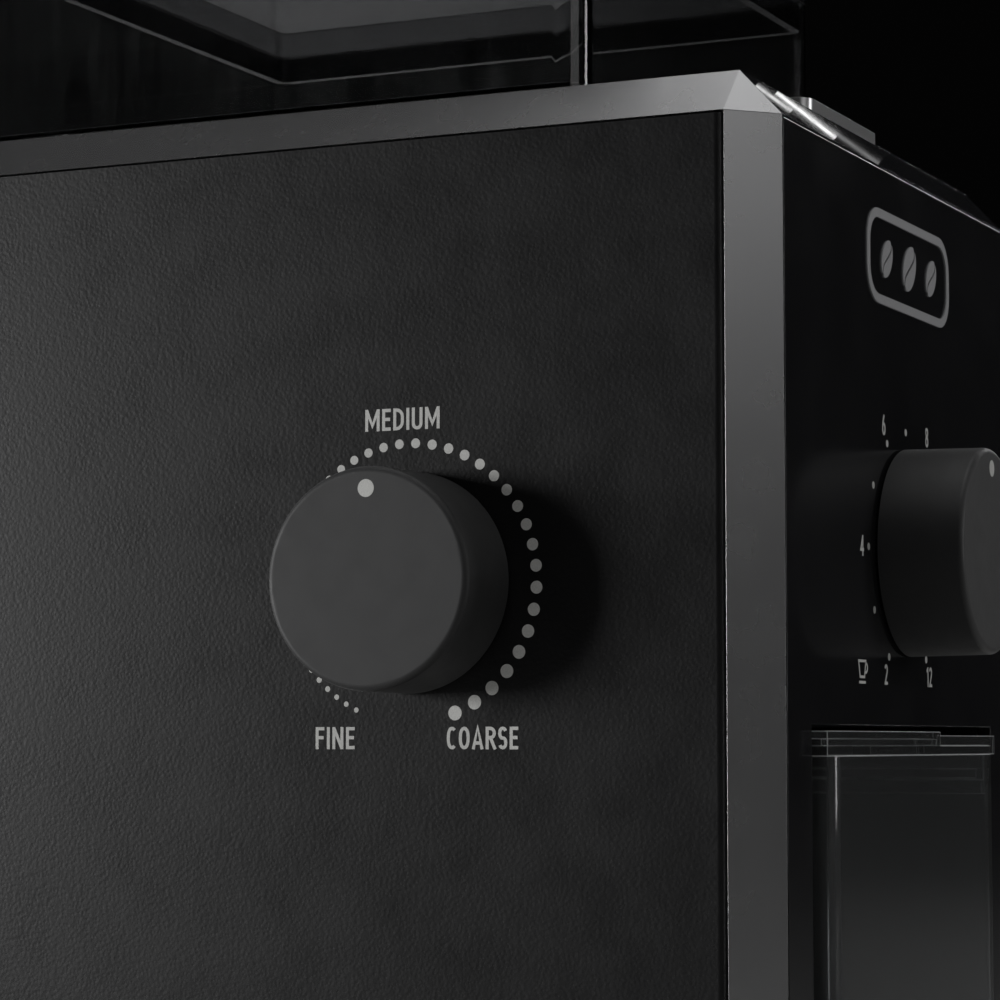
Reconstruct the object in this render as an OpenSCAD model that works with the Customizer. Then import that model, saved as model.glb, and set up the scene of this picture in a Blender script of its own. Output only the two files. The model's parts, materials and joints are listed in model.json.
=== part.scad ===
// Burr coffee grinder: a box-shaped body with a bean hopper on top, a flat burr mill
// inside, and a grounds container in a bay at the front. Millimetres, +Z up, front at -Y.

/* [Body] */
// Width of the body, left to right
body_w = 131; // [125:1:150]
// Depth of the body, front to back
body_d = 160; // [154:1:190]
// Height of the upright panels' top edge above the table
panel_top = 209.3; // [204:0.1:225]
// Leg of the chamfer that runs down each corner
corner_leg = 6.8; // [4:0.1:9]
// How far the sloped band around the top leans inward
bevel_in = 6.75; // [4:0.05:9]
// Height of the sloped band around the top
bevel_h = 7.2; // [4:0.1:9]
// Wall thickness of the outer panels
wall = 2.5; // [2:0.1:3]
// Height of the rubber feet
foot_h = 4; // [3:0.5:6]

/* [Hopper] */
// Gap between the body's side and the hopper's side
hopper_side_gap = 11; // [9:0.5:16]
// Gap between the body's front and the hopper's front
hopper_front_gap = 34.5; // [33:0.5:40]
// Height of the hopper's walls above the top deck
hopper_rise = 36.5; // [25:0.5:60]
// Wall thickness of the clear plastic hopper
hopper_wall = 2.1; // [1.6:0.1:3]

/* [Knobs] */
// Diameter of both knobs
knob_d = 34; // [30:0.5:36]
// How far a knob stands out
knob_reach = 14; // [10:1:18]
// Height of the grind knob's axis
grind_knob_z = 140.4; // [140:0.1:141]
// Height of the cup knob's axis
cup_knob_z = 147; // [145:1:150]

/* [Mill] */
// Distance of the mill's upright axis behind the body's front face
mill_back = 58.5; // [58:0.5:60]
// Outer diameter of the flat burrs
burr_d = 48; // [40:1:50]
// Gap between the burrs at the middle setting
burr_gap = 0.6; // [0.6:0.05:1]

/* [Container] */
// Width of the grounds container
container_w = 86.8; // [70:0.2:87.4]
// How far the container stands out of the front
container_proud = 2; // [0:0.1:6]
// Height of the container's rim
container_rim = 114; // [100:0.5:114]
// Wall thickness of the container
container_wall = 2.2; // [1.6:0.1:3]

/* [Hidden] */
$fn = 64;

eps = 0.01;
fit_gap = 0.3;

// Body planes, measured from the middle of the body
side_x = body_w / 2;
front_y = -body_d / 2;
back_y = body_d / 2;
base_z = foot_h;
base_t = 3;
panel_bottom = base_z + base_t;
deck_top = panel_top + bevel_h;
deck_t = 2.5;
deck_x = side_x - bevel_in;
deck_y = back_y - bevel_in;
panel_groove = 0.35;

// The row's origin is under the middle of the whole object, knobs included
knob_stand_off = 0.5;
back_proud = 1.2;
origin_x = (knob_reach + knob_stand_off) / 2;
origin_y = (knob_reach + knob_stand_off - back_proud) / 2;

// Screw bosses of the base
boss_x = 56;
boss_y = 69;

// Bay and container
bay_x = container_w / 2 + 4.2;
bay_back = -20;
bay_floor = 16;
bay_top = 118.7;
bay_t = 2;
container_front = front_y - container_proud;
container_back = bay_back - 2;
container_d = container_back - container_front;
container_y = (container_front + container_back) / 2;
container_r = 3;
rail_gap = 0.3;
flange_out = 1.2;
flange_z = 109.8;
flange_h = 1.6;
lid_floor_t = 1.5;
lid_top = 117.8;
lid_wall = 1.2;
lid_box_d = 5;
lid_box_x = 11;
rail_t = 1.5;

// Mill, stacked along its upright axis
mill_y = front_y + mill_back;
chassis_z = 121.3;
chassis_t = 3;
gear_z = 127;
gear_t = 4;
gear_module = 1;
pinion_teeth = 12;
mill_teeth = 48;
centre_distance = (pinion_teeth + mill_teeth) * gear_module / 2;
motor_y = mill_y + centre_distance;
chamber_floor = 133;
chamber_floor_t = 4;
chamber_in = 30;
chamber_out = 33;
chamber_top = 160;
lower_burr_z = 140.6;
burr_t = 5.4;
upper_burr_z = lower_burr_z + burr_t + burr_gap;
shaft_r = 4;
bearing_r = 8;
bearing_t = 5;
spindle_gap = 0.04;
cup_shaft_r = 3;

// Grind adjustment: the knob's pinion turns a toothed ring, whose ramps lift the burr
ring_in = chamber_out + 0.4;
ring_out = 42;
ring_z = 146.4;
ring_t = 3.6;
crown_in = 36;
crown_teeth = 76;
crown_r = 39;
crown_pitch = 2 * PI * crown_r / crown_teeth;
knob_pinion_teeth = 10;
knob_pinion_module = crown_pitch / PI;
knob_pinion_r = knob_pinion_module * knob_pinion_teeth / 2;
crown_mesh_z = grind_knob_z + knob_pinion_r;
crown_play = 0.2;
knob_pinion_t = 2.4;
knob_turn = 157;
ring_turn = knob_turn * knob_pinion_teeth / crown_teeth;
burr_lift = 0.5;
ramp_low = 1.5;
lug_angles = [90, 210, 330];
lug_w = 8;
lug_z = ring_z + ring_t + ramp_low + 0.3;
pillar_angles = [35, 145, 225, 315];
pillar_ring_r = 30.5;
pillar_r = 3.4;
screw_r = 1.4;

// Motor
motor_r = 26;
motor_top = 117;
motor_bottom = 42;
motor_wall = 1.5;
motor_shaft_r = 3;

// Hopper
hopper_x = side_x - hopper_side_gap;
hopper_y0 = front_y + hopper_front_gap;
hopper_y1 = back_y - hopper_side_gap;
hopper_w = 2 * hopper_x;
hopper_d = hopper_y1 - hopper_y0;
hopper_mid = (hopper_y0 + hopper_y1) / 2;
hopper_top = deck_top + hopper_rise;
hopper_r = 5;
hopper_ledge = 4;
throat_out = 20;
throat_in = 18;
throat_bottom = 163.5;
throat_top = 172;

// Start button
button_l = 37;
button_y0 = -70;
button_y1 = -55;
button_y = (button_y0 + button_y1) / 2;
button_top = deck_top + 4;
button_r = 3;
button_flange_t = 1.6;
switch_top = 200;

// A rectangle with round corners, centred
module round_rect(w, d, r) {
    square([w - 2 * r, d], center = true);
    square([w, d - 2 * r], center = true);
    for (x = [-1, 1], y = [-1, 1])
        translate([x * (w / 2 - r), y * (d / 2 - r)]) circle(r);
}

// The body's outline with its four corners cut off
module body_plan(w, d, leg) {
    polygon([
        [-w / 2 + leg, -d / 2], [w / 2 - leg, -d / 2], [w / 2, -d / 2 + leg], [w / 2, d / 2 - leg],
        [w / 2 - leg, d / 2], [-w / 2 + leg, d / 2], [-w / 2, d / 2 - leg], [-w / 2, -d / 2 + leg]
    ]);
}

// A tube along +Z
module tube(r_out, r_in, h) {
    difference() {
        cylinder(r = r_out, h = h);
        translate([0, 0, -1]) cylinder(r = r_in, h = h + 2);
    }
}

// A coil spring of round wire, standing on z = 0, as one swept solid
module coil_spring(mean_r, wire_r, height, turns) {
    sides = 8;
    steps = turns * 20;
    rise = (height - 2 * wire_r) / steps;
    function wire_point(i, k) =
        let (a = i * 360 / 20, b = k * 360 / sides, r = mean_r + wire_r * cos(b))
        [r * cos(a), r * sin(a), wire_r + i * rise + wire_r * sin(b)];
    points = [for (i = [0 : steps], k = [0 : sides - 1]) wire_point(i, k)];
    skin = [
        for (i = [0 : steps - 1], k = [0 : sides - 1])
            let (n = (k + 1) % sides)
            [i * sides + k, (i + 1) * sides + k, (i + 1) * sides + n, i * sides + n]
    ];
    start_cap = [for (k = [0 : sides - 1]) k];
    end_cap = [for (k = [sides - 1 : -1 : 0]) steps * sides + k];
    polyhedron(points, concat(skin, [start_cap], [end_cap]));
}

// A spur gear outline with involute flanks; play narrows each tooth at the pitch circle
function involute(a) = tan(a) * 180 / PI - a;
module gear_outline(teeth, mod, addendum, dedendum, play) {
    pitch_r = mod * teeth / 2;
    base_r = pitch_r * cos(20);
    root_r = pitch_r - dedendum * mod;
    tip_r = pitch_r + addendum * mod;
    half_tooth = 90 / teeth - play / pitch_r * 90 / PI;
    start_r = max(base_r, root_r);
    function flank_angle(r) = half_tooth + involute(20) - involute(acos(base_r / r));
    radii = [for (k = [0 : 3]) start_r + (tip_r - start_r) * k / 3];
    function tooth(i) = concat(
        [[root_r, -flank_angle(start_r)]],
        [for (r = radii) [r, -flank_angle(r)]],
        [for (k = [3 : -1 : 0]) [radii[k], flank_angle(radii[k])]],
        [[root_r, flank_angle(start_r)]]
    );
    polygon([
        for (i = [0 : teeth - 1], p = tooth(i))
            let (a = p[1] + i * 360 / teeth) [p[0] * cos(a), p[0] * sin(a)]
    ]);
}

// ---------------------------------------------------------------- outer shell

module base_plate() {
    color("#1c1c1d") difference() {
        union() {
            translate([0, 0, base_z]) linear_extrude(base_t) body_plan(body_w - 1, body_d - 1, corner_leg);
            for (x = [-1, 1], y = [-1, 1])
                translate([x * boss_x, y * boss_y, panel_bottom - eps]) cylinder(r = 3.6, h = 8);
        }
        for (x = [-1, 1], y = [-1, 1])
            translate([x * boss_x, y * boss_y, base_z - 1]) {
                cylinder(r = 1.5, h = 14);
                cylinder(r = 3.4, h = 2.8);
            }
        for (i = [-3 : 3]) translate([i * 7 - 1.5, 20, base_z - 1]) cube([3, 34, base_t + 2]);
    }
}

module rubber_feet() {
    color("#202020") for (x = [-1, 1], y = [-1, 1])
        translate([x * 46, y * 58, 0]) cylinder(r = 7, h = foot_h);
}

module side_panel() {
    length = body_d - 2 * corner_leg - 2 * panel_groove;
    translate([side_x - wall / 2, 0, panel_bottom]) linear_extrude(panel_top - panel_bottom - panel_groove) {
        square([wall, length - wall], center = true);
        for (y = [-1, 1]) translate([0, y * (length - wall) / 2]) circle(wall / 2);
    }
}

module left_panel() {
    color("#161617") difference() {
        mirror([1, 0, 0]) side_panel();
        translate([-side_x - 1, mill_y, grind_knob_z]) rotate([0, 90, 0]) cylinder(r = 6, h = wall + 2);
    }
}

module right_panel() {
    color("#161617") side_panel();
}

module corner_trim(side) {
    x0 = side_x - corner_leg;
    y0 = front_y + corner_leg;
    strip = [
        [side_x, y0], [x0, front_y], [x0, front_y + wall], [x0 + 1, front_y + wall],
        [side_x - wall, y0 - 1], [side_x - wall, y0]
    ];
    mirror([side < 0 ? 1 : 0, 0, 0])
        translate([0, 0, panel_bottom]) linear_extrude(panel_top - panel_bottom) polygon(strip);
}

module corner_trim_left() {
    color("#8c8d90") corner_trim(-1);
}

module corner_trim_right() {
    color("#8c8d90") corner_trim(1);
}

module front_panel() {
    width = body_w - 2 * corner_leg - 2 * panel_groove;
    color("#101011") difference() {
        translate([-width / 2, front_y, panel_bottom])
            cube([width, wall, panel_top - panel_bottom - panel_groove]);
        translate([-bay_x, front_y - 1, bay_floor - bay_t])
            cube([2 * bay_x, wall + 2, bay_top - bay_floor + bay_t]);
        translate([0, front_y - 1, cup_knob_z]) rotate([-90, 0, 0]) cylinder(r = 5, h = wall + 2);
    }
}

module back_cover() {
    x0 = side_x - corner_leg;
    y0 = back_y - corner_leg;
    rows = 9;
    color("#161617") difference() {
        translate([0, 0, panel_bottom]) linear_extrude(panel_top - panel_bottom - panel_groove) polygon([
            [-side_x, y0], [-x0, back_y], [x0, back_y], [side_x, y0],
            [side_x - wall, y0], [x0 - 1, back_y - wall], [1 - x0, back_y - wall], [wall - side_x, y0]
        ]);
        for (i = [0 : rows - 1], x = [-1, 1])
            translate([x * 21 - 17, back_y - wall - 1, 120 + i * 6]) cube([34, wall + 2, 2.4]);
        for (x = [-1, 1], z = [24, 196])
            translate([x * 46, back_y + 1, z]) rotate([90, 0, 0]) cylinder(r = 1.7, h = wall + 2);
        translate([34, back_y + 1, 30]) rotate([90, 0, 0]) cylinder(r = 6.5, h = wall + 2);
    }
}

// The sloped band: outer faces between the body's outline and the deck's rectangle
module band_solid(inset) {
    hull() {
        translate([0, 0, panel_top]) linear_extrude(eps)
            body_plan(body_w - 2 * inset, body_d - 2 * inset, corner_leg);
        translate([0, 0, deck_top - eps]) linear_extrude(eps)
            square([2 * (deck_x - inset), 2 * (deck_y - inset)], center = true);
    }
}

module front_section(grow) {
    translate([-deck_x - grow, front_y - 1, panel_top - 1])
        cube([2 * (deck_x + grow), bevel_in + 1 + grow, bevel_h + 2]);
}

module band_ring() {
    difference() {
        band_solid(0);
        translate([0, 0, -eps]) band_solid(wall);
        translate([0, 0, 2 * eps]) band_solid(wall);
    }
}

module top_bezel() {
    color("#95969a") difference() {
        band_ring();
        front_section(0);
    }
}

module front_bevel() {
    color("#26272a") intersection() {
        band_ring();
        front_section(-0.05);
    }
}

module top_deck() {
    deck_gap = wall + 0.2;
    color("#141415") difference() {
        translate([deck_gap - deck_x, deck_gap - deck_y, deck_top - deck_t])
            cube([2 * (deck_x - deck_gap), 2 * (deck_y - deck_gap), deck_t]);
        translate([0, hopper_mid, deck_top - deck_t - 1]) linear_extrude(deck_t + 2)
            round_rect(hopper_w - 2 * hopper_ledge, hopper_d - 2 * hopper_ledge, 3);
        translate([0, button_y, deck_top - deck_t - 1]) linear_extrude(deck_t + 2)
            round_rect(button_l + 2 * fit_gap, button_y1 - button_y0 + 2 * fit_gap, button_r + fit_gap);
    }
}

module bay_liner() {
    depth = bay_back + bay_t - front_y - wall;
    color("#0f0f10") difference() {
        translate([-bay_x - bay_t, front_y + wall, bay_floor - bay_t])
            cube([2 * (bay_x + bay_t), depth, bay_top - bay_floor + 2 * bay_t]);
        translate([-bay_x, front_y + wall - 1, bay_floor])
            cube([2 * bay_x, depth - bay_t + 1, bay_top - bay_floor]);
        translate([-11.3, -64.3, bay_top - 1]) cube([22.6, 9.6, bay_t + 2]);
    }
}

module cord_inlet() {
    color("#1a1a1a") translate([34, back_y, 30]) rotate([90, 0, 0]) difference() {
        union() {
            translate([0, 0, -back_proud]) cylinder(r = 8.5, h = back_proud);
            translate([0, 0, -eps]) cylinder(r = 6.3, h = 9);
            translate([0, 0, wall]) cylinder(r = 8, h = 2);
        }
        translate([0, 0, -2]) cylinder(r = 3.5, h = 12);
    }
}

module rating_plate() {
    color("#b9babc") translate([-20, -10, base_z - 0.4]) linear_extrude(0.4) round_rect(36, 22, 2);
}

// ---------------------------------------------------------------- inside: structure and controls

module chassis_plate() {
    color("#3a3b3d") difference() {
        union() {
            translate([-58, front_y + 6, chassis_z]) cube([116, 140, chassis_t]);
            translate([0, mill_y, chassis_z]) cylinder(r = 11, h = 5.2);
            for (x = [-1, 1], y = [-48, 56])
                translate([x * 54, y, panel_bottom]) cylinder(r = 3.4, h = chassis_z - panel_bottom + eps);
        }
        for (a = pillar_angles)
            translate([0, mill_y, chassis_z - 1]) rotate(a) translate([pillar_ring_r, 0, 0]) {
                cylinder(r = screw_r + 0.05, h = 6);
                cylinder(r = 2.8, h = 2.6);
            }
        translate([0, mill_y, chassis_z - 1]) cylinder(r = bearing_r, h = bearing_t + 1.2);
        translate([0, motor_y, chassis_z - 1]) cylinder(r = 9, h = chassis_t + 2);
        translate([-12.5, -66, chassis_z - 1]) cube([25, 13, chassis_t + 2]);
    }
}

module chassis_screws() {
    color("#9a9b9d") for (a = pillar_angles)
        translate([pillar_ring_r * cos(a), mill_y + pillar_ring_r * sin(a), chassis_z + 1.5]) {
            translate([0, 0, -1.4]) cylinder(r = 2.6, h = 1.4);
            cylinder(r = screw_r, h = 7);
        }
}

module motor_mounts() {
    color("#2b2b2b") for (a = [45 : 90 : 315])
        translate([19 * cos(a), motor_y + 19 * sin(a), motor_top])
            cylinder(r = 4, h = chassis_z - motor_top);
}

module motor_can() {
    color("#8b8d90") translate([0, motor_y, motor_bottom]) difference() {
        cylinder(r = motor_r, h = motor_top - motor_bottom);
        translate([0, 0, -1]) cylinder(r = motor_r - motor_wall, h = motor_top - motor_bottom - 1);
        cylinder(r = 5, h = motor_top);
        for (a = [0 : 60 : 300])
            rotate(a) translate([14, -3, motor_top - motor_bottom - 3]) cube([6, 6, 5]);
    }
}

module motor_end_cap() {
    color("#45464a") translate([0, motor_y, motor_bottom]) difference() {
        union() {
            translate([0, 0, -3]) cylinder(r = motor_r - 0.5, h = 3);
            translate([0, 0, -8]) cylinder(r = 8, h = 6);
            for (x = [-1, 1]) translate([x * 15 - 4, -4, -9]) cube([8, 8, 7]);
        }
        translate([0, 0, -6]) cylinder(r = 3.3, h = 10);
    }
}

module motor_magnets() {
    color("#5a5a60") translate([0, motor_y, motor_bottom + 12]) for (a = [25, 205])
        rotate(a) rotate_extrude(angle = 130) translate([20.5, 0]) square([4, 48]);
}

module motor_armature() {
    color("#a0622d") translate([0, motor_y, motor_bottom + 14]) {
        tube(19.5, motor_shaft_r, 40);
        translate([0, 0, 40]) tube(15, motor_shaft_r, 6);
        translate([0, 0, -6]) tube(15, motor_shaft_r, 6);
        translate([0, 0, -13]) tube(9, motor_shaft_r, 7);
    }
}

module motor_shaft() {
    color("#b0b1b4") translate([0, motor_y, motor_bottom - 5]) 
        cylinder(r = motor_shaft_r, h = gear_z + gear_t + 0.3 - motor_bottom + 5);
}

module motor_pinion() {
    color("#c9b27c") translate([0, motor_y, gear_z]) difference() {
        rotate(180 / pinion_teeth) linear_extrude(gear_t)
            gear_outline(pinion_teeth, gear_module, 1, 1.1, 0.25);
        translate([0, 0, -1]) cylinder(r = motor_shaft_r, h = gear_t + 2);
    }
}

module control_board() {
    color("#1f4d33") union() {
        translate([-30, -67.6, 140]) cube([60, 1.6, 60]);
        translate([-24, -66 - eps, 172]) cube([14, 7, 10]);
        translate([8, -66 - eps, 166]) cube([10, 9, 16]);
        for (i = [0 : 3]) translate([-26 + 6 * i, -66 - eps, 156]) cube([3, 3, 6]);
    }
}

module board_standoffs() {
    color("#cfcfcf") for (x = [-26, 26], z = [145, 195])
        translate([x, front_y + wall, z]) rotate([-90, 0, 0]) cylinder(r = 2.6, h = 12.4 - wall);
}

module start_switch() {
    color("#26282c") difference() {
        translate([-10, -66, switch_top - 13]) cube([20, 7.4, 13]);
        translate([0, button_y, switch_top - 6]) cylinder(r = 2.3, h = 7);
    }
}

module start_button() {
    color("#b5b6b8") translate([0, button_y, 0]) union() {
        translate([0, 0, deck_top - deck_t - 2]) linear_extrude(button_top - deck_top + deck_t + 2)
            round_rect(button_l, button_y1 - button_y0, button_r);
        translate([0, 0, deck_top - deck_t - 0.3 - button_flange_t]) linear_extrude(button_flange_t)
            round_rect(button_l + 3, button_y1 - button_y0 + 2, button_r);
        translate([0, 0, switch_top - 2.6]) cylinder(r = 2, h = deck_top - deck_t - 1 - switch_top + 2.6);
    }
}

module button_spring() {
    color("#c4c5c8") translate([0, button_y, switch_top])
        coil_spring(3.2, 0.35, deck_top - deck_t - 0.3 - button_flange_t - switch_top, 5);
}

module cup_dial_sensor() {
    color("#3c4048") translate([0, front_y + wall + 0.2, cup_knob_z]) rotate([-90, 0, 0]) difference() {
        union() {
            cylinder(r = 8.2, h = 9.7);
            cylinder(r = 4.7, h = 3);
        }
        translate([0, 0, -1]) cylinder(r = cup_shaft_r + 0.05, h = 9.6);
    }
}

module cup_knob_shaft() {
    color("#b9b9bb") translate([0, front_y - 10, cup_knob_z]) rotate([-90, 0, 0])
        cylinder(r = cup_shaft_r, h = 18.5);
}

// A knob with a rounded front edge, a slight taper and a blind hole for its shaft, along +Z
module knob(hole_r) {
    edge_r = 1;
    draft = 0.2;
    rotate_extrude() difference() {
        union() {
            polygon([
                [0, 0], [knob_d / 2, 0], [knob_d / 2 - draft, knob_reach - edge_r],
                [knob_d / 2 - draft - edge_r, knob_reach - edge_r],
                [knob_d / 2 - draft - edge_r, knob_reach],
                [0, knob_reach]
            ]);
            translate([knob_d / 2 - draft - edge_r, knob_reach - edge_r]) circle(edge_r);
        }
        translate([-1, -1]) square([hole_r + 1, 11]);
        translate([7.5, -1]) square([knob_d / 2 - 9.5, 8]);
        translate([-10, -10]) square([10, 40]);
    }
}

module grind_knob() {
    color("#2c2d2f") translate([-side_x - knob_stand_off, mill_y, grind_knob_z]) rotate([0, -90, 0])
        knob(shaft_r);
}

module cup_knob() {
    color("#2c2d2f") translate([0, front_y - knob_stand_off, cup_knob_z]) rotate([90, 0, 0])
        knob(cup_shaft_r);
}

module grind_knob_shaft() {
    start_x = -side_x - 10;
    color("#d8d4c8") translate([start_x, mill_y, grind_knob_z]) rotate([90, 0, 90]) {
        cylinder(r = shaft_r, h = -crown_r - start_x);
        translate([0, 0, -crown_r - knob_pinion_t / 2 - start_x]) linear_extrude(knob_pinion_t)
            gear_outline(knob_pinion_teeth, knob_pinion_module, 0.7, 1.1, 0.3);
    }
}

module knob_shaft_bush() {
    inner_x = side_x - wall;
    color("#55565a") difference() {
        translate([-inner_x, mill_y, grind_knob_z]) rotate([0, 90, 0]) union() {
            translate([-11, -11, 0]) cube([22, 22, 2.5]);
            cylinder(r = 6.5, h = 15);
        }
        translate([-side_x, mill_y, grind_knob_z]) rotate([0, 90, 0])
            cylinder(r = shaft_r + spindle_gap, h = 30);
    }
}

// ---------------------------------------------------------------- inside: the mill

module grind_housing() {
    color("#6b6d71") translate([0, mill_y, 0]) difference() {
        union() {
            translate([0, 0, chamber_floor]) cylinder(r = chamber_out, h = chamber_top - chamber_floor);
            translate([0, 0, 131.4]) cylinder(r = 11, h = 3);
            translate([0, 0, ring_z - 2.6]) cylinder(r = crown_in - 0.4, h = 2.4);
            for (a = pillar_angles) rotate(a) translate([pillar_ring_r, 0, chassis_z + chassis_t])
                cylinder(r = pillar_r, h = chamber_floor - chassis_z - chassis_t + 1);
        }
        for (a = pillar_angles) rotate(a) translate([pillar_ring_r, 0, chassis_z + chassis_t - 1])
            cylinder(r = screw_r + 0.02, h = 7);
        translate([0, 0, chamber_floor + chamber_floor_t]) cylinder(r = chamber_in, h = 40);
        translate([0, 0, 131]) cylinder(r = bearing_r, h = 10);
        for (a = lug_angles) rotate(a)
            translate([20, -lug_w / 2 - fit_gap, lug_z - burr_lift - 0.4])
                cube([20, lug_w + 2 * fit_gap, 40]);
        translate([-8, -40, chamber_floor + chamber_floor_t]) cube([16, 20, 6.4]);
    }
}

module chamber_cap() {
    color("#45464a") translate([0, mill_y, 0]) {
        translate([0, 0, chamber_top]) tube(36, 21.5, 2.5);
        translate([0, 0, chamber_top + 2.5 - eps]) tube(24, 20.6, 3.5);
    }
}

module cap_screws() {
    color("#9a9b9d") for (a = [30 : 120 : 270])
        translate([31.5 * cos(a), mill_y + 31.5 * sin(a), chamber_top + 2.5]) cylinder(r = 1.5, h = 1.2);
}

module hopper_gasket() {
    color("#7d2f2a") translate([0, mill_y, chamber_top + 6]) tube(24, 20.4, 2.4);
}

module grounds_chute() {
    color("#2f3033") difference() {
        translate([-11, -64, bay_top]) cube([22, 9.2, 24.6]);
        translate([-9, -62, bay_top - 1]) cube([18, 6, 24]);
        translate([-9, -59, chamber_floor + chamber_floor_t]) cube([18, 6, 6.4]);
    }
}

module bearing(z) {
    translate([0, mill_y, z]) {
        tube(bearing_r, 6.4, bearing_t);
        tube(5.6, shaft_r + spindle_gap, bearing_t);
        translate([0, 0, 0.6]) tube(6.41, 5.59, bearing_t - 1.2);
    }
}

module upper_bearing() {
    color("#a9abae") bearing(131.6);
}

module lower_bearing() {
    color("#a9abae") bearing(chassis_z);
}

module burr_shaft() {
    color("#b0b1b4") translate([0, mill_y, chassis_z])
        cylinder(r = shaft_r, h = lower_burr_z + 3 - chassis_z);
}

module burr_gear() {
    color("#e4ddca") translate([0, mill_y, gear_z]) difference() {
        union() {
            linear_extrude(gear_t) gear_outline(mill_teeth, gear_module, 0.75, 1.3, 0.25);
            translate([0, 0, -0.3]) cylinder(r = 7, h = gear_t + 0.4);
        }
        translate([0, 0, -1]) cylinder(r = shaft_r, h = gear_t + 2);
        for (a = [0 : 60 : 300]) rotate(a) translate([14.5, 0, -1]) cylinder(r = 4.5, h = gear_t + 2);
    }
}

module burr_carrier() {
    sweeper_h = 2.6;
    color("#8d8f92") translate([0, mill_y, 0]) difference() {
        union() {
            translate([0, 0, 137.8]) cylinder(r = 25, h = lower_burr_z - 137.8);
            translate([0, 0, 137.2]) cylinder(r = 7, h = lower_burr_z - 137.2 + 2.5);
            for (a = [0 : 90 : 270]) rotate(a) translate([22, -1.5, 137.8]) cube([7.3, 3, sweeper_h]);
        }
        translate([0, 0, 130]) cylinder(r = shaft_r, h = 20);
    }
}

// A flat burr lying on z = 0 with its cutting grooves on top
module flat_burr() {
    grooves = 20;
    bore_r = burr_d * 0.24;
    difference() {
        cylinder(r = burr_d / 2, h = burr_t);
        translate([0, 0, -1]) cylinder(r = bore_r, h = burr_t + 2);
        translate([0, 0, burr_t - 2.4]) rotate_extrude()
            polygon([[bore_r - 1, 0], [bore_r - 1, 3], [bore_r + 5, 3]]);
        for (i = [0 : grooves - 1]) rotate(i * 360 / grooves)
            translate([bore_r - 2, 3, burr_t - 0.9]) rotate([35, 0, 8]) cube([burr_d, 1.6, 2]);
    }
}

module lower_burr() {
    color("#c3c5c8") translate([0, mill_y, lower_burr_z]) flat_burr();
}

module upper_burr() {
    color("#c3c5c8") translate([0, mill_y, upper_burr_z + burr_t]) rotate([180, 0, 0]) flat_burr();
}

module upper_burr_carrier() {
    plate_z = upper_burr_z + burr_t;
    feed_r = burr_d * 0.24;
    color("#9a3b2f") translate([0, mill_y, 0]) {
        difference() {
            union() {
                translate([0, 0, plate_z]) cylinder(r = chamber_in - 0.4, h = 156 - plate_z);
                translate([0, 0, plate_z - 3]) cylinder(r = chamber_in - 0.4, h = 3 + eps);
                intersection() {
                    for (a = lug_angles) rotate(a) translate([20, -lug_w / 2, lug_z])
                        cube([20, lug_w, 156 - lug_z]);
                    cylinder(r = 38, h = 200);
                }
            }
            translate([0, 0, plate_z - 1]) cylinder(r = feed_r, h = 10);
            translate([0, 0, 154]) rotate_extrude()
                polygon([[0, 0], [feed_r, 0], [21, 2.1], [0, 2.1]]);
            translate([0, 0, plate_z - 4]) cylinder(r = burr_d / 2, h = 4);
        }
    }
}

module carrier_spring() {
    color("#c4c5c8") translate([0, mill_y, 156]) coil_spring(25.5, 0.6, chamber_top - 156, 2);
}

// A ramp that winds around the ring's axis and falls as its angle grows
module lift_ramp(middle) {
    inner_r = ring_in + 0.3;
    outer_r = 38.4;
    reach = 36;
    steps = 12;
    slope = burr_lift / ring_turn;
    function ramp_point(i, r, z) =
        let (a = middle - reach + i * 2 * reach / steps) [r * cos(a), r * sin(a), z];
    function ramp_top(i) = ramp_low - slope * (i * 2 * reach / steps - reach);
    points = [
        for (i = [0 : steps])
            for (p = [[inner_r, -0.5], [outer_r, -0.5], [outer_r, ramp_top(i)], [inner_r, ramp_top(i)]])
                ramp_point(i, p[0], p[1])
    ];
    skin = [
        for (i = [0 : steps - 1], k = [0 : 3])
            let (n = (k + 1) % 4)
            [4 * i + k, 4 * i + n, 4 * (i + 1) + n, 4 * (i + 1) + k]
    ];
    last = 4 * steps;
    polyhedron(points, concat(skin, [[3, 2, 1, 0]], [[last, last + 1, last + 2, last + 3]]));
}

// One straight-sided crown tooth under the ring, in the way of a rack tooth
module crown_tooth() {
    tip_z = crown_mesh_z - 0.6;
    root_z = ring_z + 0.3;
    half_pitch = crown_pitch / 4 - crown_play;
    function half_width(z) = half_pitch + (z - crown_mesh_z) * tan(20);
    translate([crown_in, 0, 0]) rotate([90, 0, 90]) linear_extrude(ring_out - crown_in - 0.3) polygon([
        [-half_width(tip_z), tip_z], [half_width(tip_z), tip_z],
        [half_width(root_z), root_z], [-half_width(root_z), root_z]
    ]);
}

module adjusting_ring() {
    sector_teeth = 8;
    color("#d9d3c0") translate([0, mill_y, 0]) union() {
        translate([0, 0, ring_z]) tube(ring_out, ring_in, ring_t);
        for (i = [-sector_teeth : sector_teeth]) rotate(180 + i * 360 / crown_teeth) crown_tooth();
        translate([0, 0, ring_z + ring_t]) for (a = lug_angles) lift_ramp(a);
    }
}

// ---------------------------------------------------------------- container and hopper

module container() {
    inner_w = container_w - 2 * container_wall;
    inner_d = container_d - 2 * container_wall;
    height = container_rim - bay_floor;
    flange_w = container_w + 2 * flange_out;
    flange_d = container_d - 10;
    color("#c8ccd0", 0.4) translate([0, container_y, 0]) difference() {
        union() {
            translate([0, 0, bay_floor]) linear_extrude(height)
                round_rect(container_w, container_d, container_r);
            translate([-flange_w / 2, -flange_d / 2, flange_z]) cube([flange_w, flange_d, flange_h]);
        }
        translate([0, 0, bay_floor + container_wall]) linear_extrude(height)
            round_rect(inner_w, inner_d, container_r - container_wall);
    }
}

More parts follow.
